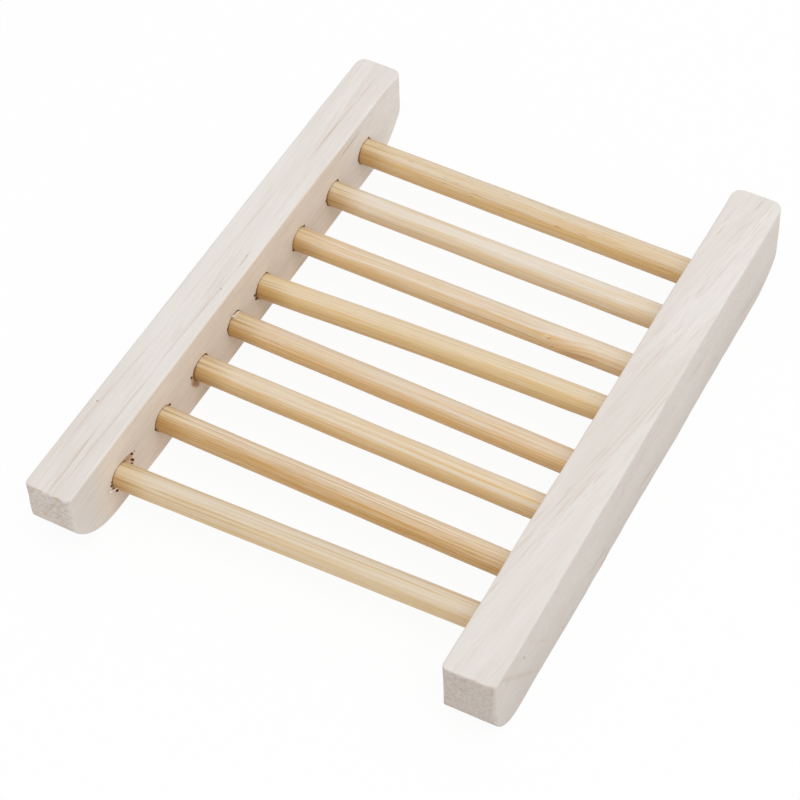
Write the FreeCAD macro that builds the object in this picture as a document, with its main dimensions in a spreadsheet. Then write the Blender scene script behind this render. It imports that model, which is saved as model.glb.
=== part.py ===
"""Soap dish: two wooden side rails joined by eight round bamboo rods set in blind sockets.

Frame: millimetres, +Z up, origin on the table at the middle of the dish.
+X runs along the rods from the left rail to the right rail.
+Y runs along the rails from the near end to the far end.
"""
import FreeCAD, Part
import math
import os

import Sketcher

# Driving dimensions, in millimetres
DIMENSIONS = {
    "overall_width": 90.0,        # outer face of one rail to outer face of the other
    "rail_length": 118.0,
    "rail_height": 16.8,
    "left_rail_width": 9.2,
    "right_rail_width": 9.8,
    "left_near_rise": 8.6,        # height at which the curved underside meets the end face
    "left_near_run": 12.6,        # how far the curved underside reaches in from the end
    "left_far_rise": 10.6,
    "left_far_run": 13.6,
    "right_near_rise": 7.0,
    "right_near_run": 8.4,
    "right_far_rise": 7.0,
    "right_far_run": 11.0,
    "edge_round": 0.6,            # sanded edges of the rails
    "dowel_diameter": 5.0,
    "dowel_height": 7.9,          # rod axis above the table
    "dowel_margin": 15.25,        # rail end to the nominal axis of the outermost rod
    "dowel_end_chamfer": 0.5,
    "dowel_end_gap": 0.3,         # glue room between a rod's end and its socket's floor
    "socket_clearance": 0.25,     # glue room around a rod, on the radius
    "socket_floor": 3.2,          # wood left between a socket and the rail's outer face
}

# The sockets are drilled by hand: how far each one wanders from its even place, near end first
SOCKET_DRIFT = {
    "left": (-1.2, 0.6, 1.3, 0.6, -1.7, -0.7, 0.1, 0.3),
    "right": (1.3, 0.1, 0.9, -0.6, 0.55, -1.2, -0.8, -0.8),
}
DOWEL_COUNT = len(SOCKET_DRIFT["left"])

# Sizes that follow from the driving dimensions, as expressions on the sheet
PITCH = f"(dims.rail_length - 2 * dims.dowel_margin) / {DOWEL_COUNT - 1}"

SMOOTH_SEAM = math.radians(1.0)   # faces that meet at less than this angle have no edge to sand


def drift_alias(side, number):
    return f"{side}_drift_{number}"


def socket_y(side, number):
    """Place of a socket's axis along its rail, as an expression."""
    even_place = f"-dims.rail_length / 2 + dims.dowel_margin + {number - 1} * {PITCH}"
    return f"({even_place} + dims.{drift_alias(side, number)})"


def socket_middle(side):
    """Distance from the dish's middle to the middle of a socket's depth, as an expression."""
    return f"((dims.overall_width - dims.{side}_rail_width - dims.socket_floor) / 2)"


def make_sheet(doc):
    """Spreadsheet of the driving dimensions, one row each: name, value."""
    sheet = doc.addObject("Spreadsheet::Sheet", "dims")
    rows = dict(DIMENSIONS)
    for side, drifts in SOCKET_DRIFT.items():
        for number, drift in enumerate(drifts, 1):
            rows[drift_alias(side, number)] = drift
    for row, (alias, value) in enumerate(rows.items(), 1):
        sheet.set(f"A{row}", alias)
        sheet.set(f"B{row}", str(value))
        sheet.setAlias(f"B{row}", alias)
    doc.recompute()
    return sheet


def origin_plane(body, role):
    return next(plane for plane in body.Origin.OriginFeatures if plane.Role == role)


def section_sketch(body, name):
    """Sketch on the body's YZ plane: its first axis is the row's Y, its second the row's Z."""
    sketch = body.newObject("Sketcher::SketchObject", name)
    sketch.AttachmentSupport = (origin_plane(body, "YZ_Plane"), "")
    sketch.MapMode = "FlatFace"
    return sketch


def bind(sketch, constraint, name, expression):
    """Add a dimension to a sketch, name it and tie it to the sheet."""
    index = sketch.addConstraint(constraint)
    sketch.renameConstraint(index, name)
    sketch.setExpression(f"Constraints.{name}", expression)


def rail_profile(sketch, side, sheet):
    """Side view of a rail: flat top, upright ends, and an underside that curves up towards each end."""
    half = sheet.rail_length / 2
    top = sheet.rail_height
    near_rise, near_run = (sheet.get(f"{side}_near_{size}") for size in ("rise", "run"))
    far_rise, far_run = (sheet.get(f"{side}_far_{size}") for size in ("rise", "run"))
    down = -math.pi / 2

    def point(along, height):
        return FreeCAD.Vector(along, height, 0)

    def underside_arc(along, rise, run, towards):
        radius = (run ** 2 + rise ** 2) / (2 * rise)
        sweep = math.asin(run / radius)
        if rise > radius:
            sweep = math.pi - sweep
        circle = Part.Circle(point(along, radius), FreeCAD.Vector(0, 0, 1), radius)
        return Part.ArcOfCircle(circle, *sorted((down, down + towards * sweep)))

    top_line = sketch.addGeometry(Part.LineSegment(point(-half, top), point(half, top)))
    far_end = sketch.addGeometry(Part.LineSegment(point(half, top), point(half, far_rise)))
    far_arc = sketch.addGeometry(underside_arc(half - far_run, far_rise, far_run, 1))
    bottom = sketch.addGeometry(Part.LineSegment(point(half - far_run, 0), point(near_run - half, 0)))
    near_arc = sketch.addGeometry(underside_arc(near_run - half, near_rise, near_run, -1))
    near_end = sketch.addGeometry(Part.LineSegment(point(-half, near_rise), point(-half, top)))

    start, end = 1, 2
    origin = (-1, 1)
    joins = [
        ("Coincident", top_line, end, far_end, start),
        ("Coincident", far_end, end, far_arc, end),
        ("Tangent", far_arc, start, bottom, start),
        ("Tangent", bottom, end, near_arc, end),
        ("Coincident", near_arc, start, near_end, start),
        ("Coincident", near_end, end, top_line, start),
        ("Horizontal", bottom),
        ("Vertical", far_end),
        ("Vertical", near_end),
        ("Symmetric", top_line, start, top_line, end, -2),
        ("PointOnObject", bottom, start, -1),
    ]
    for join in joins:
        sketch.addConstraint(Sketcher.Constraint(*join))
    bind(sketch, Sketcher.Constraint("DistanceX", top_line, start, top_line, end, 2 * half),
         "length", "dims.rail_length")
    bind(sketch, Sketcher.Constraint("DistanceY", *origin, top_line, end, top),
         "height", "dims.rail_height")
    bind(sketch, Sketcher.Constraint("DistanceY", *origin, far_end, end, far_rise),
         "far_rise", f"dims.{side}_far_rise")
    bind(sketch, Sketcher.Constraint("DistanceY", *origin, near_end, start, near_rise),
         "near_rise", f"dims.{side}_near_rise")
    bind(sketch, Sketcher.Constraint("DistanceX", bottom, start, far_end, end, far_run),
         "far_run", f"dims.{side}_far_run")
    bind(sketch, Sketcher.Constraint("DistanceX", near_end, start, bottom, end, near_run),
         "near_run", f"dims.{side}_near_run")


def sharp_edges(shape):
    """Names of the edges where two faces meet at an angle, without seams where a curve runs into a flat."""
    names = []
    for number, edge in enumerate(shape.Edges, 1):
        middle = edge.valueAt((edge.FirstParameter + edge.LastParameter) / 2)
        normals = []
        for face in shape.ancestorsOfType(edge, Part.Face):
            normals.append(face.normalAt(*face.Surface.parameter(middle)))
        if normals[0].getAngle(normals[1]) > SMOOTH_SEAM:
            names.append(f"Edge{number}")
    return names


def make_rail(doc, sheet, side, outward):
    """One rail: profile padded outward from its inner face, edges sanded, sockets drilled in the inner face.

    The rail's own YZ plane is its inner face, and outward is the sign of X that leads to its outer face.
    """
    label = f"{side}_rail"
    width = f"dims.{side}_rail_width"
    body = doc.addObject("PartDesign::Body", label)
    body.Label = label

    profile = section_sketch(body, f"{label}_profile")
    rail_profile(profile, side, sheet)
    pad = body.newObject("PartDesign::Pad", f"{label}_pad")
    pad.Profile = profile
    pad.Reversed = outward < 0
    pad.setExpression("Length", width)
    doc.recompute()

    sanded = body.newObject("PartDesign::Fillet", f"{label}_sanded_edges")
    sanded.Base = (pad, sharp_edges(pad.Shape))
    sanded.setExpression("Radius", "dims.edge_round")
    doc.recompute()

    holes = section_sketch(body, f"{label}_socket_circles")
    normal = FreeCAD.Vector(0, 0, 1)
    radius = sheet.dowel_diameter / 2 + sheet.socket_clearance
    pitch = (sheet.rail_length - 2 * sheet.dowel_margin) / (DOWEL_COUNT - 1)
    for number in range(1, DOWEL_COUNT + 1):
        along = -sheet.rail_length / 2 + sheet.dowel_margin + (number - 1) * pitch
        along += sheet.get(drift_alias(side, number))
        center = FreeCAD.Vector(along, sheet.dowel_height, 0)
        circle = holes.addGeometry(Part.Circle(center, normal, radius))
        bind(holes, Sketcher.Constraint("DistanceX", -1, 1, circle, 3, along),
             f"along_{number}", socket_y(side, number))
        bind(holes, Sketcher.Constraint("DistanceY", -1, 1, circle, 3, center.y),
             f"height_{number}", "dims.dowel_height")
        bind(holes, Sketcher.Constraint("Radius", circle, radius),
             f"radius_{number}", "dims.dowel_diameter / 2 + dims.socket_clearance")
    sockets = body.newObject("PartDesign::Pocket", f"{label}_sockets")
    sockets.Profile = holes
    sockets.Reversed = outward > 0
    sockets.setExpression("Length", f"{width} - dims.socket_floor")
    body.Tip = sockets
    body.setExpression("Placement.Base.x", f"{outward} * (dims.overall_width / 2 - {width})")
    doc.recompute()

    depth = sheet.get(f"{side}_rail_width") - sheet.socket_floor
    drilled = DOWEL_COUNT * math.pi * radius ** 2 * depth
    removed = sanded.Shape.Volume - sockets.Shape.Volume
    if not math.isclose(removed, drilled, rel_tol=1e-3):
        raise RuntimeError(f"{label}: the sockets removed {removed:.1f} mm3 instead of {drilled:.1f}")
    return body


def make_dowel(doc, sheet, number):
    """One bamboo rod along X, turned a little about Z so that it meets its socket in each rail."""
    label = f"dowel_{number}"
    body = doc.addObject("PartDesign::Body", label)
    body.Label = label

    section = section_sketch(body, f"{label}_section")
    outline = Part.Circle(FreeCAD.Vector(), FreeCAD.Vector(0, 0, 1), sheet.dowel_diameter / 2)
    circle = section.addGeometry(outline)
    section.addConstraint(Sketcher.Constraint("Coincident", circle, 3, -1, 1))
    bind(section, Sketcher.Constraint("Diameter", circle, sheet.dowel_diameter),
         "diameter", "dims.dowel_diameter")
    rod = body.newObject("PartDesign::Pad", f"{label}_rod")
    rod.Profile = section
    rod.SideType = "Symmetric"
    rod.setExpression("Length", "dims.overall_width - 2 * (dims.socket_floor + dims.dowel_end_gap)")
    doc.recompute()

    rims = [
        f"Edge{index}"
        for index, edge in enumerate(rod.Shape.Edges, 1)
        if edge.Curve.TypeId == "Part::GeomCircle"
    ]
    eased = body.newObject("PartDesign::Chamfer", f"{label}_eased_ends")
    eased.Base = (rod, rims)
    eased.setExpression("Size", "dims.dowel_end_chamfer")
    body.Tip = eased

    left, right = socket_y("left", number), socket_y("right", number)
    left_reach, right_reach = socket_middle("left"), socket_middle("right")
    span = f"({left_reach} + {right_reach})"
    body.setExpression("Placement.Base.y", f"({left} * {right_reach} + {right} * {left_reach}) / {span}")
    body.setExpression("Placement.Base.z", "dims.dowel_height")
    body.setExpression("Placement.Rotation.Angle", f"atan(({right} - {left}) / {span})")
    return body


def check(doc, bodies):
    """Stop if anything in the document failed, or if a piece isn't one valid solid."""
    for item in doc.Objects:
        if {"Invalid", "Error"} & set(item.State):
            raise RuntimeError(f"{item.Name} failed: {item.State}")
    for body in bodies:
        shape = body.Shape
        if shape.isNull() or not shape.isValid() or len(shape.Solids) != 1:
            raise RuntimeError(f"{body.Label} isn't one valid solid")


doc = FreeCAD.newDocument("soap_dish")
sheet = make_sheet(doc)
bodies = [make_rail(doc, sheet, "left", -1), make_rail(doc, sheet, "right", 1)]
bodies += [make_dowel(doc, sheet, number) for number in range(1, DOWEL_COUNT + 1)]
doc.recompute()
check(doc, bodies)

os.makedirs("parts", exist_ok=True)
for body in bodies:
    box = body.Shape.optimalBoundingBox()
    size = f"{box.XLength:.2f} x {box.YLength:.2f} x {box.ZLength:.2f}"
    print(f"{body.Label}: {body.Shape.Volume:.1f} mm3, {size} mm")
    body.Shape.exportStep(f"parts/{body.Label}.step")
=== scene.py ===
import math
from collections import namedtuple

import bmesh
import bpy
import numpy as np
from mathutils import Matrix, Vector


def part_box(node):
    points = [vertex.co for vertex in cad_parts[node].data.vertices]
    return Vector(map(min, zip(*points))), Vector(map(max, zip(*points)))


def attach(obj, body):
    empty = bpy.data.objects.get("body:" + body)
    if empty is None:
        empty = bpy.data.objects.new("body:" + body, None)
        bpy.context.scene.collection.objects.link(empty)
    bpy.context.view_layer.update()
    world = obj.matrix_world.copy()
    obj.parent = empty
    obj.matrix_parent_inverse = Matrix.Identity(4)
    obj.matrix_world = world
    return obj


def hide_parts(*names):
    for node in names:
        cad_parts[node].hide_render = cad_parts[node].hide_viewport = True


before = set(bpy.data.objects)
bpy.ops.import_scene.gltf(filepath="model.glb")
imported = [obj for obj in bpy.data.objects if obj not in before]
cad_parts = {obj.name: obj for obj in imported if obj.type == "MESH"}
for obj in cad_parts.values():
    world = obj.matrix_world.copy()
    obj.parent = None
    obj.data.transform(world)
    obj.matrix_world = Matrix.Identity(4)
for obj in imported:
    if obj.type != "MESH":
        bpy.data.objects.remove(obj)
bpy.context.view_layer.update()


# Rails
# Two bars of pale, close-grained wood, sawn to length, cut to a curve under both ends and sanded by hand.
# Each has eight blind sockets drilled into its inner face, where the rods are glued. The drill tore some of
# the mouths and scorched a few pits beside them, most of all at the near end of the left rail.

MM = 0.001
cell = 0.5 * MM
socket_room = 0.06 * MM
rod_end_gap = 0.3 * MM
rod_radius = {
    "dowel_1": 2.50 * MM,
    "dowel_2": 2.44 * MM,
    "dowel_3": 2.50 * MM,
    "dowel_4": 2.43 * MM,
    "dowel_5": 2.51 * MM,
    "dowel_6": 2.41 * MM,
    "dowel_7": 2.52 * MM,
    "dowel_8": 2.62 * MM,
}
RailEnd = namedtuple("RailEnd", "rise run trim skew corner flare")


def rod_ends(node):
    """The middles of a rod's two ends: half-way between the outermost points on either side of x = 0."""
    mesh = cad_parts[node].data
    points = np.empty(len(mesh.vertices) * 3)
    mesh.vertices.foreach_get("co", points)
    points = points.reshape(-1, 3)
    left, right = points[points[:, 0] < 0], points[points[:, 0] > 0]
    ends = (np.array([left.min(0), right.min(0)]) + np.array([left.max(0), right.max(0)])) / 2
    ends[:, 0] = points[:, 0].min(), points[:, 0].max()
    return ends


def ease(share):
    """0 below 0, 1 above 1, and a smooth S between: 3 s squared less 2 s cubed."""
    share = np.clip(share, 0, 1)
    return share * share * (3 - 2 * share)


def bump(distance, width):
    """1 at no distance, falling off on both sides as a bell of that width."""
    return np.exp(-((distance / width) ** 2))


def ripple(points, seed, length, waves=10):
    """A smooth random value at each point, mostly within 1 of 0.

    It is a scaled mean of sine waves in random directions, each about `length` long.
    """
    draw = np.random.default_rng(seed)
    shortest, longest, spread = 0.7 * length, 1.6 * length, 0.5
    heading = draw.normal(size=(3, waves))
    heading /= np.linalg.norm(heading, axis=0) * draw.uniform(shortest, longest, waves)
    phase = draw.uniform(0, 2 * np.pi, waves)
    return np.sin(2 * np.pi * points @ heading + phase).mean(-1) * spread * math.sqrt(2 * waves)


def stations(breaks, step):
    """Positions through every break, evenly spread between neighbours and about one step apart."""
    counts = np.maximum(1, np.round(np.diff(breaks) / step)).astype(int)
    runs = [np.linspace(a, b, n, endpoint=False) for a, b, n in zip(breaks, breaks[1:], counts)]
    return np.concatenate([*runs, breaks[-1:]])


def grid(across, along, up):
    """A grid of points from three arrays that spread over its rows and columns."""
    return np.stack(np.broadcast_arrays(across, along, up), -1)


def grid_quads(rows, columns, ring=False):
    """The corners of each cell of a grid stored row by row. In a ring the last column joins the first."""
    here = np.arange(columns if ring else columns - 1)
    beside = (here + 1) % columns
    row = np.arange(rows - 1)[:, None] * columns
    corners = [row + here, row + beside, row + columns + beside, row + columns + here]
    return np.stack(corners, -1).reshape(-1, 4)


def closed_piece(name, sheets, values, node=None):
    """A piece from sheets of (points, quads), with values that ride on the points.

    Seams and poles merge, and the faces turn outwards.
    """
    merge_distance = 0.002 * MM
    starts = np.cumsum([0] + [len(points) for points, _ in sheets])
    points = np.concatenate([points for points, _ in sheets])
    quads = np.concatenate([cells + start for (_, cells), start in zip(sheets, starts)])
    used, quads = np.unique(quads, return_inverse=True)
    mesh = bpy.data.meshes.new(name)
    mesh.from_pydata(points[used], [], quads.reshape(-1, 4).tolist())
    for key, value in values.items():
        value = np.concatenate(value)[used].astype(np.float32)
        kind, field = ("FLOAT", "value") if value.ndim == 1 else ("FLOAT_VECTOR", "vector")
        mesh.attributes.new(key, kind, "POINT").data.foreach_set(field, value.ravel())
    work = bmesh.new()
    work.from_mesh(mesh)
    bmesh.ops.remove_doubles(work, verts=work.verts, dist=merge_distance)
    bmesh.ops.recalc_face_normals(work, faces=work.faces)
    work.to_mesh(mesh)
    work.free()
    mesh.polygons.foreach_set("use_smooth", np.ones(len(mesh.polygons), bool))
    piece = bpy.data.objects.new(name, mesh)
    bpy.context.scene.collection.objects.link(piece)
    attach(piece, "root")
    if node:
        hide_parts(node)
    return piece


def round_edges(points, low, high, radius):
    """Rounds a box: a point is drawn to the box shrunk by the radius and pushed out again by it."""
    core = np.clip(points, low + radius, high - radius)
    out = points - core
    return core + radius * out / np.linalg.norm(out, axis=-1, keepdims=True)


def round_corners(points, width, half, radius):
    """Rounds the upright corners by the map that takes a square to a disc.

    In each corner square (u, v) goes to (u sqrt(1 - v²/2), v sqrt(1 - u²/2)).
    """
    across, along, up = np.moveaxis(points, -1, 0)
    middle = width / 2
    beside = across - middle
    u = np.clip((np.abs(beside) - (middle - radius)) / radius, 0, 1)
    v = np.clip((np.abs(along) - (half - radius)) / radius, 0, 1)
    wide = np.minimum(np.abs(beside), middle - radius) + radius * u * np.sqrt(1 - v * v / 2)
    long = np.minimum(np.abs(along), half - radius) + radius * v * np.sqrt(1 - u * u / 2)
    return np.stack([middle + np.sign(beside) * wide, np.sign(along) * long, up], -1)


def socket_sheet(border, centre, lean, hole, depth, tears):
    """One socket as rings of points from the border of its square in to the middle of its floor.

    Each ring has one point for each border point, at the same angle. The face rings shrink from the border
    to the mouth, which each tear (angle, width, reach) widens by a bell-shaped bump. The lip rings slope
    from the mouth to the drilled wall, the wall goes in along the rod, and the floor rings shrink to
    nothing. Returns the rings, how much of the rail's shaping each takes and how dark each is painted, as
    burn and as painted shade in the narrow recess: not at all on the face, fully in a tight mouth and in
    the hole, and a little in a wide tear.
    """
    mouth_room, least_lip, lip_slope = 0.03 * MM, 0.08 * MM, 0.20
    wide_tear, clean_share = 0.6 * MM, 0.75
    face_rings, lip_rings, wall_rings, floor_rings, crowding = 10, 6, 8, 4, 1.7
    spoke = border - centre
    edge = np.linalg.norm(spoke, axis=-1)
    heading = spoke / edge[:, None]
    angle = np.arctan2(spoke[:, 1], spoke[:, 0])
    turn = (angle[:, None] - tears[:, 0] + np.pi) % (2 * np.pi) - np.pi
    torn = (tears[:, 2] * bump(turn, tears[:, 1])).sum(-1)
    mouth = hole + mouth_room + torn
    lip_depth = least_lip + lip_slope * torn
    face = np.linspace(1, 0, face_rings)[:, None] ** crowding
    lip = np.linspace(0, 1, lip_rings + 1)[1:, None]
    wall = np.linspace(0, 1, wall_rings + 1)[1:, None]
    floor = np.linspace(1, 0, floor_rings + 1)[1:, None]
    flat = np.zeros_like(edge)
    radius = np.concatenate([
        mouth + (edge - mouth) * face,
        mouth + (hole - mouth) * lip,
        flat + hole + 0 * wall,
        flat + hole * floor,
    ])
    inward = np.concatenate([
        flat + 0 * face,
        lip_depth * np.sqrt(lip),
        lip_depth + (depth - lip_depth) * wall,
        flat + depth + 0 * floor,
    ])
    take = np.concatenate([face[:, 0], np.zeros(len(radius) - len(face))])
    burn_and_shade = np.concatenate([
        flat + 0 * face,
        1 - clean_share * ease(torn / wide_tear) + 0 * lip,
        flat + 1 + 0 * wall,
        flat + 1 + 0 * floor,
    ])
    along = centre[0] + radius * heading[:, 0] + lean * inward
    up = centre[1] + radius * heading[:, 1]
    return grid(inward, along, up), take, burn_and_shade


def rail_piece(node, side, near, far, splay, seed, torn):
    """A rail: six faces of a box on shared stations, rounded, smoothed by sanding and bent up under the
    ends.

    Local coordinates are the distance outward from the inner face, the place along the rail and the height.
    Each end has the rise and run of the curve under it, how far it is trimmed back, by how much more at the
    outer side, the radius of its upright corners, and how far its inner side flares towards the other rail.
    The outer face stands out by the splay at its foot, and each socket fills a square of the inner face.
    """
    low, high = (np.array(corner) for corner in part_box(node))
    width, half, height = high[0] - low[0], high[1], high[2]
    inner = min(abs(low[0]), abs(high[0]))
    ends = np.array([rod_ends(name) for name in rod_radius])
    depth = np.abs(ends[:, :, 0]).max() + rod_end_gap - inner
    spans = ends[:, 1] - ends[:, 0]
    leans = spans[:, 1] / spans[:, 0]
    centres = ends[:, 0, 1:].copy()
    centres[:, 0] += leans * (side * inner - ends[:, 0, 0])

    socket_reach, slack = 4.9 * MM, 0.001 * MM
    edge, edge_turns = 0.7 * MM, np.radians([45, 37, 29, 21, 12, 0])
    easing = edge * (1 - np.tan(edge_turns))
    rows = np.sort(np.concatenate([centres[:, 0] - socket_reach, centres[:, 0] + socket_reach]))
    up_middle = centres[:, 1].mean()
    up_rows = [up_middle - socket_reach, up_middle + socket_reach]
    along = stations(np.concatenate([easing - half, rows, half - easing[::-1]]), cell)
    up = stations(np.concatenate([easing, up_rows, height - easing[::-1]]), cell)
    across = stations(np.concatenate([easing, width - easing[::-1]]), cell)
    tip_length = 9 * MM
    waviness = [(0.08 * MM, 22 * MM, seed), (0.025 * MM, 6 * MM, seed + 5)]

    def shaped(points, take):
        """Bends, cuts and sands points of the rail, each by its own share. The foot stays flat."""
        a, y, z = np.moveaxis(points, -1, 0)
        lift, cut, flare = 0 * y, 0 * y, 0 * y
        for sign, end in ((-1, near), (1, far)):
            arc = (end.run**2 + end.rise**2) / (2 * end.rise)
            past = np.clip(sign * y - (half - end.run), 0, end.run)
            lift = lift + (arc - np.sqrt(arc**2 - past**2)) * (1 - ease(z / height))
            tip = np.clip((sign * y - (half - tip_length)) / tip_length, 0, 1) ** 2
            cut = cut - sign * tip * (end.trim + end.skew * a / width)
            flare = flare - tip * end.flare * (1 - a / width)
        moved = np.stack([splay * a / width * (1 - z / height) + flare, cut, lift], -1)
        for axis, share in enumerate((1, 1, z / height)):
            for size, length, first_seed in waviness:
                moved[..., axis] += size * share * ripple(points, first_seed + axis, length)
        return points + moved * take

    def placed(points):
        """Rail coordinates as places in the shared frame."""
        outward, y, z = np.moveaxis(points, -1, 0)
        return np.stack([side * (inner + outward), y, z], -1).reshape(-1, 3)

    faces = [
        grid(0.0, along[:, None], up),
        grid(width, along[:, None], up),
        grid(across, along[:, None], 0.0),
        grid(across, along[:, None], height),
        grid(across[:, None], -half, up),
        grid(across[:, None], half, up),
    ]
    sheets, burnt_and_shaded = [], []
    box = np.array([0, -half, 0]), np.array([width, half, height])
    edge_radius, edge_waver, waver_length = 0.48 * MM, 0.06 * MM, 9 * MM
    for face in faces:
        radius = (edge_radius + edge_waver * ripple(face, seed + 9, waver_length))[..., None]
        corner = np.where(face[..., 1] < 0, near.corner, far.corner)
        skin = round_corners(round_edges(face, *box, radius), width, half, corner)
        cells = grid_quads(*face.shape[:2])
        if face is faces[0]:
            middle = face.reshape(-1, 3)[cells].mean(1)[:, 1:]
            inside = (np.abs(middle[:, None] - centres) < socket_reach).all(-1).any(-1)
            cells = cells[~inside]
        sheets.append((placed(shaped(skin, 1.0)), cells))
        burnt_and_shaded.append(np.zeros(face.shape[0] * face.shape[1]))

    draw = np.random.default_rng(seed)
    chip_count, chip_limits = 9, [(0, 360), (4, 12), (0.01, 0.09)]
    tear_units = [math.radians(1), math.radians(1), MM]
    for name, centre, lean in zip(rod_radius, centres, leans):
        ys = along[np.abs(along - centre[0]) < socket_reach + slack]
        zs = up[np.abs(up - up_middle) < socket_reach + slack]
        low_side, high_side = grid(ys[:-1], zs[0], 0), grid(ys[:0:-1], zs[-1], 0)
        far_side, near_side = grid(ys[-1], zs[:-1], 0), grid(ys[0], zs[:0:-1], 0)
        border = np.concatenate([low_side, far_side, high_side, near_side])[:, :2]
        chips = np.stack([draw.uniform(*limits, chip_count) for limits in chip_limits], -1)
        tears = np.concatenate([chips, torn.get(name, np.empty((0, 3)))]) * tear_units
        hole = rod_radius[name] + socket_room
        rings, take, burn_and_shade = socket_sheet(border, centre, side * lean, hole, depth, tears)
        skin = placed(shaped(rings, take[:, None, None]))
        sheets.append((skin, grid_quads(*rings.shape[:2], ring=True)))
        burnt_and_shaded.append(burn_and_shade.ravel())
    return closed_piece(node + "_wood", sheets, {"burn_and_shade": burnt_and_shaded}, node)


class Tone:
    """A value in a material. Arithmetic on it adds Math nodes, and node() adds any other kind of node."""

    def __init__(self, tree, socket):
        self.tree = tree
        self.socket = socket

    def node(self, kind, settings, sockets, output=0):
        """Adds a node: its settings come first, then the values or links of its sockets."""
        made = self.tree.nodes.new("ShaderNode" + kind)
        for name, value in settings.items():
            setattr(made, name, value)
        for name, value in sockets.items():
            self.feed(made.inputs[name], value)
        return Tone(self.tree, made.outputs[output])

    def feed(self, socket, value):
        """Links a tone to a socket, or sets a plain value on it."""
        if isinstance(value, Tone):
            self.tree.links.new(value.socket, socket)
        else:
            socket.default_value = value

    def maths(self, operation, *values):
        """Adds a Math node."""
        return self.node("Math", {"operation": operation}, dict(enumerate(values)))

    def __add__(self, other):
        return self.maths("ADD", self, other)

    def __sub__(self, other):
        return self.maths("SUBTRACT", self, other)

    def __rsub__(self, other):
        return self.maths("SUBTRACT", other, self)

    def __mul__(self, other):
        return self.maths("MULTIPLY", self, other)

    __radd__ = __add__
    __rmul__ = __mul__

    def wave(self):
        """The sine of this."""
        return self.maths("SINE", self)

    def axis(self, name):
        """One part of this vector."""
        return self.node("SeparateXYZ", {}, {"Vector": self}, name)

    def band(self, low, high):
        """0 below low, 1 above high, and a smooth S between. With low above high it falls instead."""
        limits = {"Value": self, "From Min": low, "From Max": high}
        return self.node("MapRange", {"interpolation_type": "SMOOTHSTEP"}, limits)

    def blend(self, first, second):
        """The first colour where this is 0 and the second where it is 1."""
        return self.node("Mix", {"data_type": "RGBA"}, {0: self, 6: first, 7: second}, output=2)

    def measured(self, size, turn=(0, 0, 0), origin=(0, 0, 0)):
        """This vector from an origin, turned, in units of that size along each axis."""
        stretch = {"Vector": self, "Location": origin, "Rotation": turn, "Scale": size}
        return self.node("Mapping", {"vector_type": "TEXTURE"}, stretch)

    def drawn(self, size, turn=(0, 0, 0), origin=(0, 0, 0), detail=2.0, rough=0.5):
        """Noise from 0 to 1 on this vector, with lumps of that size along each axis after the turn."""
        vector = self.measured(size, turn, origin)
        noise = {"Vector": vector, "Scale": 1.0, "Detail": detail, "Roughness": rough}
        return self.node("TexNoise", {}, noise)

    def marked(self, spots):
        """The strongest of some ellipsoids with soft edges, each (middle, half sizes, turn, strength).

        Lengths are in millimetres and turns in degrees. Within its core a spot has its full strength.
        """
        core, total = 0.35, None
        for middle, size, turn, strength in spots:
            scaled = self.measured(np.array(size) * MM, np.radians(turn), np.array(middle) * MM)
            reach = self.node("VectorMath", {"operation": "LENGTH"}, {0: scaled}, "Value")
            spot = reach.band(1.0, core) * strength
            total = spot if total is None else total.maths("MAXIMUM", total, spot)
        return total

    def value(self, name, output="Fac"):
        """A value stored on the mesh's points."""
        return self.node("Attribute", {"attribute_name": name}, {}, output)


def start_material(name):
    """A new material: the material itself, its Principled shader and the object coordinates as a tone."""
    material = bpy.data.materials.new(name)
    material.use_nodes = True
    tree = material.node_tree
    place = tree.nodes.new("ShaderNodeTexCoord").outputs["Object"]
    return material, tree.nodes["Principled BSDF"], Tone(tree, place)


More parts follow.
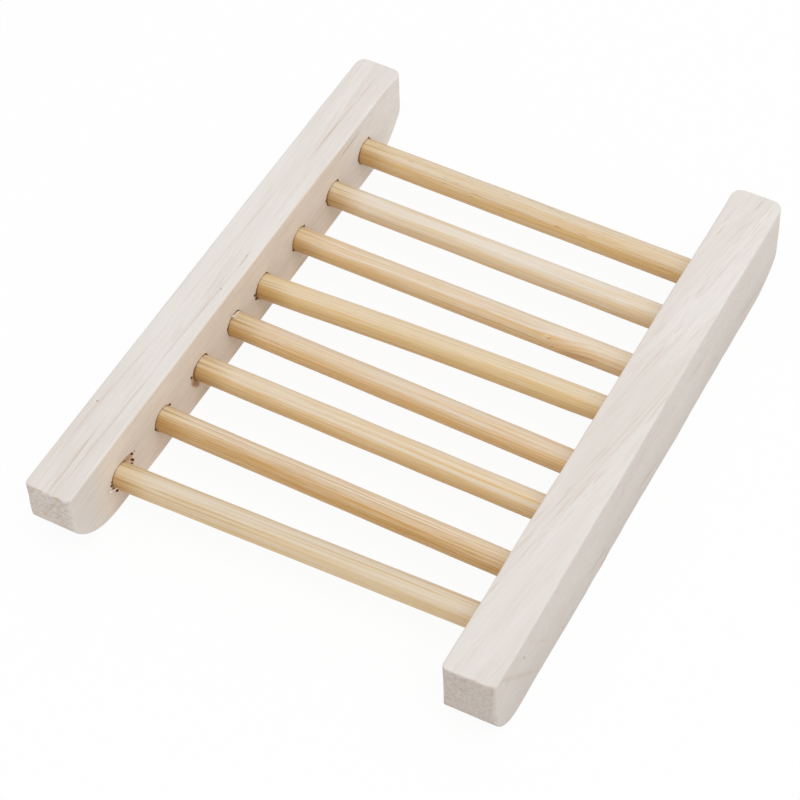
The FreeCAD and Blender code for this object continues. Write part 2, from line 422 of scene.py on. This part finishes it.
def pale_wood(name, slant, seed, stripes, dashes, end_pale, dark_marks, tan_marks):
    """Pale wood: thin tan growth lines in groups, short pores, mottled end grain, single marks.

    It is painted a little paler towards the far end and on the far part of the inner face as painted light,
    warmer on the inner face between the rods as painted bounce light from the rods, whiter along the rounded
    top edges as a painted highlight, and darker over the outer face, most at its foot, as painted shade. The
    grain is turned by the slant, in degrees, and stripes and dashes are the strengths of the growth lines
    and of the pores.
    """
    near_pale, far_pale_painted_light, painted_edge_highlight = (0.805, 0.762, 0.727, 1), (0.845, 0.802, 0.770, 1), (0.88, 0.85, 0.82, 1)
    painted_rod_bounce, painted_far_light_inner = (0.895, 0.802, 0.712, 1), (0.905, 0.868, 0.842, 1)
    growth_tan, painted_outer_shade = (0.600, 0.500, 0.410, 1), (0.56, 0.515, 0.475, 1)
    end_speck, end_pore = (0.50, 0.425, 0.36, 1), (0.34, 0.27, 0.22, 1)
    lip_tan, mark_tan = (0.44, 0.31, 0.18, 1), (0.49, 0.315, 0.185, 1)
    singed, burnt_and_shaded = (0.64, 0.42, 0.21, 1), (0.30, 0.145, 0.050, 1)
    burnt_rim, burnt_core = (0.45, 0.215, 0.080, 1), (0.105, 0.030, 0.007, 1)

    material, shader, place = start_material(name)
    turn = (math.radians(1.5), 0, math.radians(slant))
    origin = (0.013 * seed, 0.11 * seed, 0.007 * seed)
    drift = place.node("TexNoise", {}, {"Vector": place, "Scale": 25.0, "Detail": 1.0}, "Color")
    wander = {0: drift, 1: (1.4 * MM, 0, 1.4 * MM), 2: place}
    grain = place.node("VectorMath", {"operation": "MULTIPLY_ADD"}, wander, "Vector")

    def fibres(thick, long, detail):
        """Noise in fibres along the grain, of that thickness and length in millimetres."""
        return grain.drawn((thick * MM, long * MM, thick * MM), turn, origin, detail)

    ring_turns = 44
    lines = (fibres(2.6, 170, 2.0) * ring_turns).wave().band(0.0, 1.0)
    groups = fibres(3.6, 70, 1.0).band(0.42, 0.66)
    broad = fibres(5.0, 60, 2.0).band(0.40, 0.70)
    hairs = fibres(0.26, 11, 2.0)
    pores = fibres(0.42, 7.0, 1.0).band(0.54, 0.72)
    specks = place.drawn((0.62 * MM, 1.6 * MM, 0.62 * MM), turn, origin, 3.0, 0.65)
    patches = place.drawn((2.4 * MM, 2.4 * MM, 2.4 * MM), turn, origin, 1.0)
    keys = ("end_grain", "lip", "edge", "top", "inner", "outer", "burn_and_shade")
    end, lip, edge, top, inner, outer, burn_and_shade = (place.value(key) for key in keys)
    along, up = place.axis("Y"), place.axis("Z")

    # Painted light: the wood is painted paler towards the far end.
    colour = along.band(-60 * MM, 60 * MM).blend(near_pale, far_pale_painted_light)
    # Painted bounce light: the inner face between the rods is painted warmer, as lit by the golden rods.
    between = inner * along.band(-55 * MM, -46 * MM) * along.band(47 * MM, 30 * MM)
    colour = between.blend(colour, painted_rod_bounce)
    # Painted light: the far part of the inner face is painted paler and more neutral.
    colour = (inner * along.band(30 * MM, 46 * MM)).blend(colour, painted_far_light_inner)
    # Painted highlight: the rounded top edges along the rail are painted whiter.
    colour = (edge * 0.5).blend(colour, painted_edge_highlight)
    tan = lines * (0.15 + groups * 0.85) * stripes + pores * (0.1 + groups * 0.9) * dashes
    tan = tan * (0.3 + top * 0.7) + broad * (0.12 + top * 0.07)
    tan = tan + hairs.band(0.36, 0.72) * (0.30 - inner * 0.03 - top * 0.17)
    colour = tan.blend(colour, growth_tan)
    # Painted shade: the outer face is painted darker, and darker still towards its foot.
    colour = (outer * (0.16 + up.band(11 * MM, 0) * 0.28)).blend(colour, painted_outer_shade)
    mottled = (specks.band(0.36, 0.64) * 0.58).blend(end_pale, end_speck)
    mottled = (specks.band(0.36, 0.27) * 0.5).blend(mottled, end_pore)
    colour = end.blend(colour, mottled)
    colour = (lip * patches.band(0.44, 0.64) * 0.4).blend(colour, lip_tan)
    colour = (place.marked(tan_marks) * (0.5 + hairs)).blend(colour, mark_tan)
    colour = (burn_and_shade.band(0.0, 0.3) * 0.55).blend(colour, singed)
    # Burn and painted shade: the socket walls and tight mouths are painted dark where the gap round the rod
    # lies in shade.
    colour = (burn_and_shade.band(0.3, 1.0) * 0.92).blend(colour, burnt_and_shaded)
    burnt = place.marked(dark_marks)
    colour = burnt.band(0.0, 0.45).blend(colour, burnt_rim)
    colour = burnt.band(0.40, 1.0).blend(colour, burnt_core)
    shader.inputs["Specular IOR Level"].default_value = 0.12
    place.feed(shader.inputs["Base Color"], colour)
    place.feed(shader.inputs["Roughness"], 0.60 + hairs * 0.18)
    height = hairs * 0.5 - lines * 0.2 - pores * 0.4 + specks * end * 0.6
    relief = {"Height": height, "Strength": 0.35, "Distance": 0.10 * MM}
    place.feed(shader.inputs["Normal"], place.node("Bump", {}, relief))
    return material


def mark_faces(rail, side):
    """Stores at each point, from its normal, which face or which top edge of the rail it is on."""
    mesh = rail.data
    normals = np.empty(len(mesh.vertices) * 3, np.float32)
    mesh.vertex_normals.foreach_get("vector", normals)
    across, along, up = normals.reshape(-1, 3).T
    end_from, end_over = 0.45, 0.5
    looks = {
        "end_grain": ease((np.abs(along) - end_from) / end_over),
        # The rounded top edges along the rail, which carry the painted highlight.
        "lip": np.where(up > 0, 4 * (along * up) ** 2, 0),
        "edge": np.where(up > 0, 4 * (across * up) ** 2, 0),
        "top": ease(up),
        "inner": ease(-side * across),
        "outer": ease(side * across),
    }
    for key, value in looks.items():
        mesh.attributes.new(key, "FLOAT", "POINT").data.foreach_set("value", value.astype(np.float32))


# The damage and the single marks, read off the photo: a torn mouth as (angle, width, reach) in degrees and
# millimetres, a pit as (place along the rail, height, radius), and any other mark as Tone.marked takes it.

inner_face, outer_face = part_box("left_rail")[1][0] / MM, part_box("right_rail")[1][0] / MM
near_end, rail_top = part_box("left_rail")[0][1] / MM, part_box("left_rail")[1][2] / MM
left_torn = {
    "dowel_1": [(16, 22, 1.75), (-10, 14, 1.2), (42, 12, 0.45), (205, 22, 0.30), (244, 12, 0.45)],
    "dowel_2": [(22, 7, 0.20), (190, 14, 0.15)],
    "dowel_3": [(43, 10, 0.12), (140, 24, 0.22), (172, 26, 0.45)],
    "dowel_4": [(60, 18, 0.25), (160, 20, 0.12)],
    "dowel_5": [(56, 8, 0.12), (180, 25, 0.38)],
    "dowel_6": [(38, 8, 0.15), (205, 14, 0.12)],
    "dowel_7": [(48, 8, 0.12), (155, 35, 0.25)],
    "dowel_8": [(55, 9, 0.22), (150, 40, 0.12)],
}
left_pits = [
    (-40.69, 9.14, 0.26), (-40.73, 7.41, 0.26), (-41.05, 6.81, 0.16), (-39.83, 8.94, 0.10),
    (-47.15, 8.48, 0.20), (-47.49, 7.81, 0.22), (-46.34, 5.12, 0.25),
    (-28.07, 8.98, 0.18), (-33.13, 7.50, 0.22),
    (-20.75, 8.50, 0.22), (-15.56, 9.66, 0.16),
    (-8.14, 8.74, 0.14),
    (1.68, 8.13, 0.25), (1.90, 6.97, 0.23), (6.14, 10.08, 0.16),
    (20.23, 9.45, 0.14), (15.67, 6.96, 0.20),
    (33.13, 9.93, 0.15), (28.46, 8.29, 0.15),
    (41.32, 7.74, 0.19), (45.60, 10.32, 0.12),
]


def pit_mark(along, up, radius):
    """A pit in the left rail's inner face as a dark mark, longest along the slant of the drill's cut."""
    deep, long, wide, slant, strength = 0.7, 3.2, 1.5, -55, 1.0
    return (inner_face, along, up), (deep, long * radius, wide * radius), (slant, 0, 0), strength


left_dark_marks = [pit_mark(*pit) for pit in left_pits] + [
    ((inner_face, -19.9, 6.0), (0.6, 2.2, 0.9), (-55, 0, 0), 0.22),
    ((-43.5, -38.1, rail_top), (0.26, 0.30, 0.5), (0, 0, 0), 0.32),
    ((-37.6, -6.0, rail_top), (0.13, 0.28, 0.5), (0, 0, 0), 0.52),
    ((-37.6, 3.1, rail_top), (0.08, 0.60, 0.4), (0, 0, 4), 0.34),
]
left_tan_marks = [
    ((inner_face, 38.4, 14.65), (0.5, 6.0, 0.35), (0, 0, 0), 0.45),
    ((inner_face, -19.9, 6.0), (0.6, 2.6, 1.1), (-55, 0, 0), 0.95),
    ((inner_face + 0.1, -20.5, 7.7), (0.7, 1.9, 0.8), (-70, 0, 0), 0.72),
    ((inner_face, -41.7, 8.7), (1.2, 1.6, 1.0), (0, 0, 0), 0.60),
    ((inner_face, -47.0, 6.4), (1.0, 1.3, 0.8), (-48, 0, 0), 0.80),
    ((-40.1, -51.0, rail_top), (0.34, 14.0, 0.5), (0, 0, 0), 0.28),
    ((-38.5, -41.0, rail_top), (0.28, 22.0, 0.5), (0, 0, -1), 0.22),
    ((-38.1, -14.0, rail_top), (0.26, 18.0, 0.5), (0, 0, -2), 0.28),
    ((-37.5, 2.0, rail_top), (0.17, 3.2, 0.5), (0, 0, 0), 0.45),
    ((-39.6, 36.0, rail_top), (0.32, 11.0, 0.5), (0, 0, 0), 0.30),
    ((-39.2, 48.0, rail_top), (0.45, 16.0, 0.5), (0, 0, -1), 0.17),
    ((-42.7, -32.0, rail_top), (0.30, 18.0, 0.5), (0, 0, -3), 0.17),
    ((-41.6, 5.0, rail_top), (0.30, 24.0, 0.5), (0, 0, -2), 0.12),
    ((-39.6, near_end - 0.1, 13.4), (0.36, 0.6, 5.2), (0, 31, 0), 0.28),
    ((-38.2, near_end, rail_top - 0.4), (1.3, 0.6, 0.5), (0, 0, 0), 0.35),
]
right_dark_marks = [
    ((outer_face + 0.15, -34.5, 1.9), (0.5, 0.18, 0.25), (0, 0, 0), 0.6),
    ((outer_face + 0.05, -48.7, 12.2), (0.5, 0.32, 0.75), (12, 0, 0), 0.28),
    ((outer_face + 0.05, -4.0, 13.0), (0.5, 0.28, 0.5), (0, 0, 0), 0.16),
]
right_tan_marks = [
    ((outer_face + 0.1, -50.6, 9.4), (0.7, 14.0, 0.75), (-49, 0, 0), 0.18),
    ((outer_face + 0.1, -43.2, 9.5), (0.7, 8.0, 0.55), (-53, 0, 0), 0.10),
    ((outer_face + 0.15, 0.4, 3.6), (0.6, 6.5, 0.55), (-11, 0, 0), 0.36),
    ((outer_face + 0.1, 20.4, 10.9), (0.6, 5.0, 0.45), (-8, 0, 0), 0.24),
    ((outer_face + 0.15, 46.0, 3.4), (0.6, 9.0, 0.60), (-8, 0, 0), 0.24),
    ((outer_face + 0.15, -20.5, 3.8), (0.6, 6.0, 0.55), (-8, 0, 0), 0.26),
    ((outer_face + 0.2, -17.8, 0.9), (0.6, 2.4, 0.60), (0, 0, 0), 0.34),
    ((41.0, 56.6, rail_top), (0.18, 2.2, 0.4), (0, 0, -10), 0.30),
    ((37.0, 51.1, rail_top), (0.16, 2.0, 0.4), (0, 0, -10), 0.26),
    ((37.2, 47.6, rail_top), (0.16, 2.4, 0.4), (0, 0, -10), 0.32),
    ((39.3, near_end - 0.1, 15.6), (0.8, 0.6, 0.6), (0, 0, 0), 0.26),
    ((39.1, near_end - 0.1, 12.9), (0.9, 0.6, 0.5), (0, 0, 0), 0.26),
    ((36.7, near_end - 0.1, 8.7), (0.8, 0.6, 0.7), (0, 0, 0), 0.30),
    ((44.4, near_end, 15.4), (0.3, 0.6, 1.5), (0, 0, 0), 0.45),
]
left_rail = rail_piece(
    "left_rail",
    side=-1,
    near=RailEnd(rise=8.6 * MM, run=12.6 * MM, trim=-0.1 * MM, skew=0.0, corner=1.3 * MM, flare=0.0),
    far=RailEnd(
        rise=10.9 * MM, run=13.6 * MM, trim=0.1 * MM, skew=-0.25 * MM, corner=2.0 * MM, flare=0.6 * MM
    ),
    splay=0.22 * MM,
    seed=11,
    torn=left_torn,
)
right_rail = rail_piece(
    "right_rail",
    side=1,
    near=RailEnd(rise=7.0 * MM, run=8.4 * MM, trim=-0.2 * MM, skew=0.3 * MM, corner=1.2 * MM, flare=0.0),
    far=RailEnd(rise=7.0 * MM, run=11.0 * MM, trim=-0.25 * MM, skew=0.0, corner=2.1 * MM, flare=0.0),
    splay=0.32 * MM,
    seed=47,
    torn={},
)
left_wood = pale_wood(
    "left_rail_wood",
    slant=1.6,
    seed=1,
    stripes=0.16,
    dashes=0.12,
    end_pale=(0.752, 0.687, 0.640, 1),
    dark_marks=left_dark_marks,
    tan_marks=left_tan_marks,
)
right_wood = pale_wood(
    "right_rail_wood",
    slant=-8.5,
    seed=2,
    stripes=0.14,
    dashes=0.28,
    end_pale=(0.663, 0.605, 0.569, 1),
    dark_marks=right_dark_marks,
    tan_marks=right_tan_marks,
)
for rail, side, wood in ((left_rail, -1, left_wood), (right_rail, 1, right_wood)):
    mark_faces(rail, side)
    rail.data.materials.append(wood)


# Splinters
# Fibres of the left rail that the drill lifted at two mouths and that still hang on by one end. Some lie
# across the torn lower corner of the nearest socket and some on top of the fourth rod, all of bleached
# wood. Each is given by its root, its tip and its radius, in millimetres.

splinters = [
    ((-35.78, -48.90, 7.42), (-34.70, -47.25, 7.75), 0.24),
    ((-35.78, -48.70, 8.30), (-35.20, -47.75, 8.40), 0.09),
    ((-35.55, -6.60, 10.85), (-35.18, -5.00, 10.42), 0.22),
    ((-35.45, -5.20, 10.45), (-35.62, -3.70, 9.60), 0.22),
    ((-35.35, -6.40, 10.50), (-35.00, -5.60, 10.42), 0.17),
]


def sliver_sheet(root, tip, radius, sides=10, steps=14):
    """A sliver: a flattened circle carried along a bowed line, closed at the root and tapered to the tip."""
    outward, bow, flatness = np.array([1, 0, 0]), 0.12 * MM, 0.6
    root_size, swell = 0.6, 4
    root, tip = np.array(root) * MM, np.array(tip) * MM
    share = np.linspace(0, 1, steps)[:, None, None]
    angle = np.linspace(0, 2 * np.pi, sides, endpoint=False)[:, None]
    beside = np.cross(tip - root, outward)
    beside /= np.linalg.norm(beside)
    size = radius * MM * np.sqrt(1 - share) * np.minimum(1, root_size + swell * share)
    size[[0, -1]] = 0
    middle = root + (tip - root) * share + bow * outward * np.sin(np.pi * share)
    points = middle + size * (np.cos(angle) * beside + flatness * np.sin(angle) * outward)
    return points.reshape(-1, 3), grid_quads(steps, sides, ring=True)


def splinter_wood():
    """Torn fibre: bleached wood with a streak of tan along it."""
    bleached, tan = (0.90, 0.84, 0.75, 1), (0.72, 0.56, 0.38, 1)
    material, shader, place = start_material("splinter_wood")
    streak = place.drawn((0.2 * MM, 1.2 * MM, 0.2 * MM), (math.radians(-34), 0, 0)).band(0.4, 0.7)
    place.feed(shader.inputs["Base Color"], (streak * 0.5).blend(bleached, tan))
    place.feed(shader.inputs["Roughness"], 0.6 + streak * 0.2)
    return material


splinter_sheets = [sliver_sheet(*splinter) for splinter in splinters]
splinter_piece = closed_piece("left_rail_splinters", splinter_sheets, {})
splinter_piece.data.materials.append(splinter_wood())


# Rods
# Eight sticks of bamboo, split from the culm and drawn through a round die, so that fine fibres run from
# end to end. Each is painted paler above and more golden below, as painted light and shade, and no two are
# quite alike in thickness or colour.
# The fifth is bowed a little, and the sixth was cut with a knot of the culm in it.

rod_sides, rod_step = 72, 0.6 * MM
RodLook = namedtuple("RodLook", "pale golden pale_side streaks threads flecks")
Knot = namedtuple("Knot", "place angle")
left_mouth, right_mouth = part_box("left_rail")[1][0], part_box("right_rail")[0][0]
mouth_middle, mouth_reach = (left_mouth + right_mouth) / 2, (right_mouth - left_mouth) / 2


def rod_piece(node, seed, bow=0.0, knot=None):
    """A rod: a circle carried along the axis. Its radius wavers a little, and its ends have a round rim.

    A bow moves the middle sideways by a sine squared, which leaves the ends in their sockets. Each point
    keeps the side that it faces and its fibre coordinates: the place along the rod and the two directions
    across it. Round a knot (place along the rod, angle) these are squeezed away from it, so that the fibres
    pass on either side, and beyond it they turn, so that the fibres climb.
    """
    radius = rod_radius[node]
    ends = rod_ends(node)
    length = np.linalg.norm(ends[1] - ends[0])
    axis = (ends[1] - ends[0]) / length
    beside = np.cross([0, 0, 1], axis)
    beside /= np.linalg.norm(beside)
    above = np.cross(axis, beside)
    rim, rim_turns = 0.5 * MM, np.radians([0, 30, 60, 90])
    waver, waver_length = 0.025 * MM, 14 * MM
    ease_in = rim * (1 - np.cos(rim_turns))
    run = stations(np.concatenate([ease_in, length - ease_in[::-1]]), rod_step)
    run = np.concatenate([[0], run, [length]])[:, None]
    angle = np.linspace(0, 2 * np.pi, rod_sides, endpoint=False)
    around = grid(run, radius * np.cos(angle), radius * np.sin(angle))
    shoulder = np.clip(1 - np.minimum(run, length - run) / rim, 0, 1)
    size = radius - rim * (1 - np.sqrt(1 - shoulder**2)) + waver * ripple(around, seed, waver_length)
    fibre_angle = angle + 0 * run
    if knot:
        squeeze, squeeze_length, squeeze_angle = 0.4, 3.0 * MM, 1.0
        climb, climb_length = 0.5, 9 * MM
        bulge, bulge_length, bulge_angle = 0.06 * MM, 1.8 * MM, 1.2
        past = run - knot.place
        turn = (angle - knot.angle + np.pi) % (2 * np.pi) - np.pi
        squeezed = bump(past, squeeze_length) * np.sin(turn) * bump(turn, squeeze_angle)
        fibre_angle = angle - squeeze * squeezed + climb * ease(past / climb_length)
        size = size + bulge * bump(past, bulge_length) * bump(turn, bulge_angle)
    size[[0, -1]] = 0
    aside = bow * np.sin(np.pi * run / length) ** 2
    points = ends[0] + run[..., None] * axis + aside[..., None] * beside
    points = points + size[..., None] * (np.cos(angle)[:, None] * beside + np.sin(angle)[:, None] * above)
    fibre = grid(run - length / 2, radius * np.cos(fibre_angle), radius * np.sin(fibre_angle))
    side = grid(0 * run, np.cos(angle), np.sin(angle))
    sheet = (points.reshape(-1, 3), grid_quads(*points.shape[:2], ring=True))
    values = {"fibre": [fibre.reshape(-1, 3)], "side": [side.reshape(-1, 3)]}
    return closed_piece(node + "_bamboo", [sheet], values, node)


def bamboo(name, seed, look, dark_marks, pale_marks):
    """Bamboo: pale and golden streaks with thin brown threads and short flecks, painted paler above and more
    golden below as painted light and shade.

    The fibres are long and waver a little. Towards the left socket the underside is painted darker and
    browner as painted shade under the rail, a thin dark ring at each mouth is burn and painted shade in the
    socket's gap, and the lowest side is painted brighter and more orange as painted bounce light.
    """
    painted_bounce_below, shade_by_left_rail, deep_shade_by_left_rail = (0.88, 0.60, 0.28, 1), (0.66, 0.48, 0.20, 1), (0.45, 0.220, 0.050, 1)
    thread, fleck, burnt_and_shaded = (0.36, 0.19, 0.06, 1), (0.34, 0.18, 0.06, 1), (0.20, 0.080, 0.025, 1)
    knot_pale, knot_dark = (0.88, 0.78, 0.63, 1), (0.43, 0.175, 0.040, 1)

    material, shader, place = start_material(name)
    fibre, faced = place.value("fibre", "Vector"), place.value("side", "Vector")
    origin = (0.05 * seed, 0.011 * seed, 0.017 * seed)
    lit_angle = math.radians(look.pale_side)
    towards_lit = (0, math.cos(lit_angle), math.sin(lit_angle))
    facing = place.node("VectorMath", {"operation": "DOT_PRODUCT"}, {0: faced, 1: towards_lit}, "Value")
    bend_place = fibre.measured((20 * MM, 3 * MM, 3 * MM), origin=origin)
    bends = fibre.node("TexNoise", {}, {"Vector": bend_place, "Scale": 1.0, "Detail": 1.0}, "Color")
    sway = {0: bends, 1: (0, 0.4 * MM, 0.4 * MM), 2: fibre}
    strand = fibre.node("VectorMath", {"operation": "MULTIPLY_ADD"}, sway, "Vector")

    def fibres(long, thick, detail=2.0, rough=0.5):
        """Noise in fibres along the rod, of that length and thickness in millimetres."""
        return strand.drawn((long * MM, thick * MM, thick * MM), origin=origin, detail=detail, rough=rough)

    broad = fibres(60, 0.60)
    fine = fibres(34, 0.30, rough=0.55)
    short = fibres(3.5, 0.28, detail=1.0)
    threads = fibres(45, 0.30, detail=1.0).band(0.55, 0.64)
    # Painted light and shade: paler towards the lit side above, more golden on the shaded side below.
    under = facing.band(1.0, 0.46)
    from_middle = place.axis("X") - mouth_middle
    outward = from_middle.maths("ABSOLUTE", from_middle)
    # The last 8.5 mm of the rod before the left socket, where the painted shade under the rail goes.
    near_left_socket = outward.band(mouth_reach - 8.5 * MM, mouth_reach - 0.1 * MM)
    near_left_socket = near_left_socket * from_middle.band(20 * MM, -20 * MM)
    # Painted shade in the socket's gap, with some burn: a thin dark ring on the rod at each mouth, darkest
    # on the underside.
    ring = outward.band(mouth_reach - 0.24 * MM, mouth_reach - 0.12 * MM)
    ring = ring * outward.band(mouth_reach + 0.35 * MM, mouth_reach + 0.15 * MM)

    streaks = (broad - 0.5) * 1.0 + (fine - 0.5) * 3.4 + (short - 0.5) * 0.7
    shade = under * 0.64 + streaks * look.streaks + 0.18
    colour = shade.blend(look.pale, look.golden)
    # Painted bounce light: the lowest side of the rod is painted brighter and more orange, as lit from the
    # table.
    colour = (facing.band(0.25, -0.35) * 0.45).blend(colour, painted_bounce_below)
    # Painted shade under the left rail: darker golden, deepest on the underside.
    colour = (near_left_socket * 0.42).blend(colour, shade_by_left_rail)
    colour = (near_left_socket * under * 0.55).blend(colour, deep_shade_by_left_rail)
    colour = (threads * (near_left_socket * 0.45 + look.threads * 0.5)).blend(colour, thread)
    colour = (short.band(0.68, 0.78) * look.flecks).blend(colour, fleck)
    ring = ring * (short.band(0.40, 0.60) * 0.30 + under * 0.30 + 0.12)
    colour = ring.blend(colour, burnt_and_shaded)
    if dark_marks:
        colour = place.marked(pale_marks).blend(colour, knot_pale)
        colour = place.marked(dark_marks).blend(colour, knot_dark)
    shader.inputs["Specular IOR Level"].default_value = 0.4
    place.feed(shader.inputs["Base Color"], colour)
    place.feed(shader.inputs["Roughness"], 0.42 + fine * 0.16)
    relief = {"Height": fine * 0.8 - threads * 0.5, "Strength": 0.4, "Distance": 0.08 * MM}
    place.feed(shader.inputs["Normal"], place.node("Bump", {}, relief))
    return material


# A look is the pale and the golden colour, the angle in degrees of the lit side, towards which the rod is
# painted paler as painted light, and the strengths of the streaks, threads and flecks.

rod_looks = {
    "dowel_1": RodLook((0.75, 0.640, 0.500, 1), (0.70, 0.520, 0.295, 1), 85, 1.00, 0.30, 0.1),
    "dowel_2": RodLook((0.80, 0.670, 0.510, 1), (0.60, 0.335, 0.090, 1), 80, 0.60, 0.45, 0.2),
    "dowel_3": RodLook((0.80, 0.680, 0.520, 1), (0.73, 0.490, 0.215, 1), 85, 0.80, 0.20, 0.1),
    "dowel_4": RodLook((0.78, 0.665, 0.530, 1), (0.74, 0.470, 0.190, 1), 85, 0.75, 0.30, 0.2),
    "dowel_5": RodLook((0.80, 0.670, 0.490, 1), (0.75, 0.520, 0.230, 1), 85, 0.90, 0.25, 0.1),
    "dowel_6": RodLook((0.81, 0.700, 0.565, 1), (0.74, 0.500, 0.245, 1), 85, 0.80, 0.25, 0.2),
    "dowel_7": RodLook((0.82, 0.735, 0.630, 1), (0.79, 0.600, 0.360, 1), 85, 1.00, 0.20, 0.1),
    "dowel_8": RodLook((0.77, 0.650, 0.490, 1), (0.72, 0.470, 0.190, 1), 85, 0.75, 0.25, 0.6),
}
rod_bows = {"dowel_5": 0.40 * MM}
knots = {"dowel_6": Knot(place=59.9 * MM, angle=math.radians(136))}
knot_dark_marks = [
    ((17.9, 15.89, 9.50), (0.70, 0.15, 0.15), (0, 0, 0), 0.75),
    ((18.9, 15.29, 8.20), (0.42, 0.30, 0.17), (0, 0, 0), 0.90),
    ((24.3, 15.29, 8.45), (5.0, 0.60, 0.50), (0, -5.7, 0), 0.42),
    ((22.3, 15.26, 7.75), (4.0, 0.50, 0.34), (0, 0, 0), 0.38),
]
knot_pale_marks = [
    ((17.5, 16.09, 9.70), (0.85, 0.16, 0.16), (0, 0, 0), 0.75),
    ((17.0, 15.69, 9.25), (0.95, 0.18, 0.18), (0, 0, 0), 0.65),
    ((19.1, 15.27, 7.90), (0.28, 0.25, 0.14), (0, 0, 0), 0.75),
]
knot_marks = {"dowel_6": (knot_dark_marks, knot_pale_marks)}
rod_seed = 60
for number, (node, look) in enumerate(rod_looks.items(), 1):
    rod = rod_piece(node, rod_seed + number, rod_bows.get(node, 0.0), knots.get(node))
    marks = knot_marks.get(node, ((), ()))
    rod.data.materials.append(bamboo(rod.name, number, look, *marks))


# Floor, light and camera
# The dish stands on a plain white table under one wide soft lamp, with light from all round. The camera
# looks down on it from the near right, from where the photograph was taken.

floor_half = 3.0
floor_mesh = bpy.data.meshes.new("floor")
floor_corners = np.array([(-1, -1, 0), (1, -1, 0), (1, 1, 0), (-1, 1, 0)]) * floor_half
floor_mesh.from_pydata(floor_corners, [], [(0, 1, 2, 3)])
floor = bpy.data.objects.new("floor", floor_mesh)
bpy.context.scene.collection.objects.link(floor)


def seen_rays(tree):
    """1 for rays that the eye sees, straight, mirrored or through glass, and 0 for light on its way."""
    path = tree.nodes.new("ShaderNodeLightPath")
    seen = Tone(tree, path.outputs["Is Camera Ray"])
    seen = seen.maths("MAXIMUM", seen, Tone(tree, path.outputs["Is Glossy Ray"]))
    return seen.maths("MAXIMUM", seen, Tone(tree, path.outputs["Is Transmission Ray"]))


white_share = 0.93
lit_white, seen_white = (0.86, 0.84, 0.81, 1), (0.95, 0.95, 0.95, 1)
floor_material, floor_shader, _ = start_material("white_table")
floor_mesh.materials.append(floor_material)
floor_tree = floor_material.node_tree
seen = seen_rays(floor_tree)
seen.feed(floor_shader.inputs["Base Color"], seen.blend(lit_white, seen_white))
floor_shader.inputs["Roughness"].default_value = 1.0
floor_shader.inputs["Specular IOR Level"].default_value = 0.0
matt = Tone(floor_tree, floor_shader.outputs[0])
glow = seen.node("Emission", {}, {"Color": (1, 1, 1, 1), "Strength": 1.0})
mixed = seen.node("MixShader", {}, {0: seen * white_share, 1: matt, 2: glow})
floor_tree.links.new(mixed.socket, floor_tree.nodes["Material Output"].inputs["Surface"])

fill_strength = 0.70
world = bpy.data.worlds.new("studio")
bpy.context.scene.world = world
world.use_nodes = True
backdrop = world.node_tree.nodes["Background"]
seen = seen_rays(world.node_tree)
seen.feed(backdrop.inputs["Color"], (1, 1, 1, 1))
seen.feed(backdrop.inputs["Strength"], seen * (1 - fill_strength) + fill_strength)

lamp_place, lamp_size, lamp_power = Vector((0.390, -0.190, 1.210)), 1.2, 6.0
lamp_data = bpy.data.lights.new("soft_lamp", "AREA")
lamp_data.shape = "DISK"
lamp_data.size = lamp_size
lamp_data.energy = lamp_power
lamp = bpy.data.objects.new("soft_lamp", lamp_data)
lamp.location = lamp_place
lamp.rotation_euler = (-lamp_place).to_track_quat("-Z", "Y").to_euler()
bpy.context.scene.collection.objects.link(lamp)

focal_pixels, picture_side = 2315.1, 800
camera_data = bpy.data.cameras.new("camera")
camera_data.sensor_width = 36.0
camera_data.lens = focal_pixels / picture_side * camera_data.sensor_width
camera = bpy.data.objects.new("camera", camera_data)
camera_place = (0.132744, -0.230557, 0.330479)
azimuth, elevation, roll = math.radians(30.80), math.radians(51.21), math.radians(-3.075)
heading = Matrix.Rotation(azimuth, 4, "Z")
tilt = Matrix.Rotation(math.pi / 2 - elevation, 4, "X") @ Matrix.Rotation(roll, 4, "Z")
camera.matrix_world = Matrix.Translation(camera_place) @ heading @ tilt
bpy.context.scene.collection.objects.link(camera)
bpy.context.scene.camera = camera
bpy.context.scene.view_settings.view_transform = "Standard"
